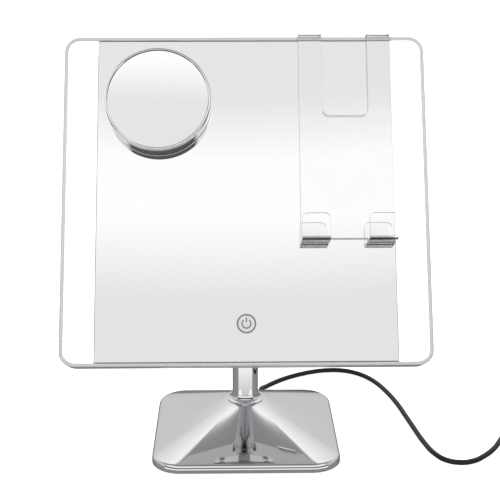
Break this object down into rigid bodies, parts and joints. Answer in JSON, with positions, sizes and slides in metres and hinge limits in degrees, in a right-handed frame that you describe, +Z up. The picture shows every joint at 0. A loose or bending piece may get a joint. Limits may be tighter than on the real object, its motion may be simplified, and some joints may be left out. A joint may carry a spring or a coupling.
{
  "type": "lighted vanity mirror",
  "caption": "Tabletop make-up mirror: lit panel that tilts and swivels on a chrome stem and base, spot magnifier, clear phone cradle and adaptor lead.",
  "frame": {"origin": "on the table, at the middle of the base pad, below the axis of the stem", "axes": "+Z up, +X to the right of a person looking into the mirror, -Y towards that person"},
  "size_m": [0.4705, 0.2742, 0.3582],
  "materials": {
    "chrome_plate": "mirror-bright chrome plate",
    "zinc_steel": "zinc-plated",
    "satin_steel": "satin",
    "cast_iron": "as cast, painted",
    "black_abs": "fine moulded texture",
    "rubber_foam": "closed-cell foam",
    "black_rubber": "matt",
    "white_nylon": "matt",
    "silver_abs": "silver-white, satin gloss",
    "white_abs": "matt",
    "silvered_glass": "mirror",
    "frosted_acrylic": "frosted, lit from behind",
    "circuit_board": "white solder resist",
    "clear_vinyl": "clear and soft",
    "clear_acrylic": "clear, polished",
    "inner_lead": "matt",
    "cord_sheath": "satin"
  },
  "bodies": {
    "base": {"base_shell": "chrome_plate", "base_plate": "black_abs", "base_pad": "rubber_foam", "base_weight": "cast_iron", "bottom_screw_1": "zinc_steel", "bottom_screw_2": "zinc_steel", "bottom_screw_3": "zinc_steel", "bottom_screw_4": "zinc_steel", "stem_tube": "chrome_plate", "stem_collar": "chrome_plate", "stem_stud": "zinc_steel", "stud_washer": "zinc_steel", "stud_nut": "zinc_steel", "swivel_bush": "white_nylon", "stem_lead": "inner_lead", "strain_relief": "black_rubber", "power_cord": "cord_sheath", "cord_coil": "cord_sheath", "power_cord_end": "cord_sheath", "adaptor_body": "black_abs", "adaptor_prong_left": "zinc_steel", "adaptor_prong_right": "zinc_steel"},
    "head": {"swivel_head": "chrome_plate", "swivel_retaining_ring": "zinc_steel", "hinge_pin": "zinc_steel", "hinge_nut": "zinc_steel", "friction_washer_left": "white_nylon", "friction_washer_right": "white_nylon"},
    "panel": {"hinge_bracket": "satin_steel", "bracket_screw_1": "zinc_steel", "bracket_screw_2": "zinc_steel", "bracket_screw_3": "zinc_steel", "bracket_screw_4": "zinc_steel", "rear_cover": "silver_abs", "cover_screw_1": "zinc_steel", "cover_screw_2": "zinc_steel", "cover_screw_3": "zinc_steel", "cover_screw_4": "zinc_steel", "chassis": "black_abs", "front_bezel": "silver_abs", "mirror_glass": "silvered_glass", "light_diffuser_left": "frosted_acrylic", "light_diffuser_right": "frosted_acrylic", "light_tray_left": "white_abs", "light_tray_right": "white_abs", "led_board_left": "circuit_board", "led_board_right": "circuit_board", "control_board": "circuit_board", "touch_pad": "zinc_steel", "led_harness": "inner_lead", "panel_lead": "inner_lead"},
    "magnifier": {"magnifier_housing": "chrome_plate", "magnifier_glass": "silvered_glass", "suction_cup_1": "clear_vinyl", "suction_cup_2": "clear_vinyl", "suction_cup_3": "clear_vinyl"},
    "cradle": {"phone_cradle": "clear_acrylic"}
  },
  "joints": [
    {"name": "panel_swivel", "type": "hinge", "parent": "base", "child": "head", "pos_m": [0, 0, 0.1874], "axis": [0, 0, 1], "range_deg": [-90, 90]},
    {"name": "panel_tilt", "type": "hinge", "parent": "head", "child": "panel", "pos_m": [0, 0, 0.2134], "axis": [1, 0, 0], "range_deg": [-23.5, 26.5]},
    {"name": "magnifier_pull", "type": "slide", "parent": "panel", "child": "magnifier", "axis": [0, -0.8949, 0.4462], "range_m": [0, 0.06]},
    {"name": "cradle_slide", "type": "slide", "parent": "panel", "child": "cradle", "axis": [1, 0, 0], "range_m": [-0.072, 0.016]}
  ]
}
